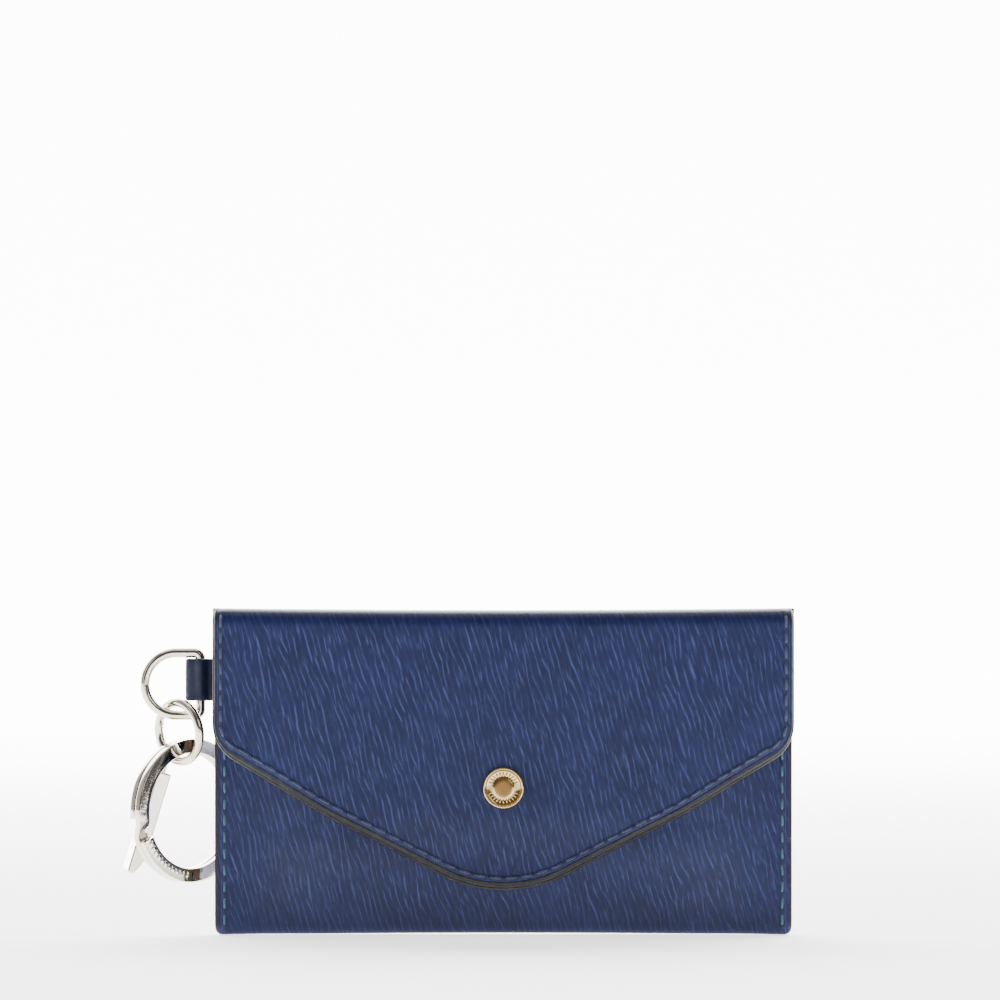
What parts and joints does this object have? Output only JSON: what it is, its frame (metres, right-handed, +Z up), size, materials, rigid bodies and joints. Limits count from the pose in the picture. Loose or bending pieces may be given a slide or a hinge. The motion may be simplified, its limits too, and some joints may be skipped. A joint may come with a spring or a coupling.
{
  "type": "envelope wallet",
  "caption": "Slim leather envelope wallet with a snap flap, an inner card pocket, and a side tab with a D-ring, jump ring, split key ring and bar tag.",
  "frame": {"origin": "middle of the flat base strip that the closed wallet stands on", "axes": "+Z up from the base to the fold, +X towards the side without the ring tab, -Y towards the front with the flap"},
  "size_m": [0.1398, 0.024, 0.068],
  "materials": {
    "blue_leather": "embossed ripple grain",
    "smooth_leather": "smooth",
    "lining_fabric": "woven twill",
    "flap_lining": "smooth, painted edge",
    "thread_navy": "waxed thread",
    "thread_teal": "waxed thread",
    "snap_gold": "polished pale gold plate",
    "snap_steel": "plated",
    "ring_nickel": "polished nickel"
  },
  "bodies": {
    "pouch": {"leather_shell": "blue_leather", "pouch_lining": "lining_fabric", "card_pocket": "lining_fabric", "ring_tab": "smooth_leather", "seam_thread_left": "thread_teal", "seam_thread_right": "thread_teal", "stud_post": "snap_steel", "snap_stud": "snap_steel"},
    "fold": {"top_fold": "blue_leather", "fold_lining": "flap_lining"},
    "flap": {"flap_leather": "blue_leather", "flap_lining": "flap_lining", "flap_thread": "thread_navy", "snap_socket": "snap_steel", "snap_cap": "snap_gold"},
    "d_ring": {"d_ring": "ring_nickel"},
    "jump_ring": {"jump_ring": "ring_nickel"},
    "key_ring": {"key_ring": "ring_nickel"},
    "tag": {"tag": "ring_nickel"}
  },
  "joints": [
    {"name": "fold_bend", "type": "hinge", "parent": "pouch", "child": "fold", "pos_m": [0, 0.0052, 0.0674], "axis": [-1, 0, 0], "range_deg": [0, 90]},
    {"name": "flap_bend", "type": "hinge", "parent": "fold", "child": "flap", "pos_m": [0, -0.009, 0.0674], "axis": [-1, 0, 0], "range_deg": [0, 90]},
    {"name": "d_ring_swing", "type": "hinge", "parent": "pouch", "child": "d_ring", "pos_m": [-0.06305, 0, 0.0522], "axis": [0, 0, 1], "range_deg": [-12, 40]},
    {"name": "jump_ring_swing", "type": "hinge", "parent": "d_ring", "child": "jump_ring", "pos_m": [-0.06845, 0, 0.0457], "axis": [-1, 0, 0], "range_deg": [-18, 2]},
    {"name": "key_ring_swing", "type": "hinge", "parent": "jump_ring", "child": "key_ring", "pos_m": [-0.067, 0.00049, 0.03606], "axis": [0.7115, -0.7027, 0], "range_deg": [-30, 30]},
    {"name": "tag_swing", "type": "hinge", "parent": "jump_ring", "child": "tag", "pos_m": [-0.06999, 0.00321, 0.03755], "axis": [0.5907, -0.4822, -0.6469], "range_deg": [-15, 25]}
  ],
  "couplings": [
    {"joint": "flap_bend", "follows": "fold_bend", "ratio": 1}
  ]
}
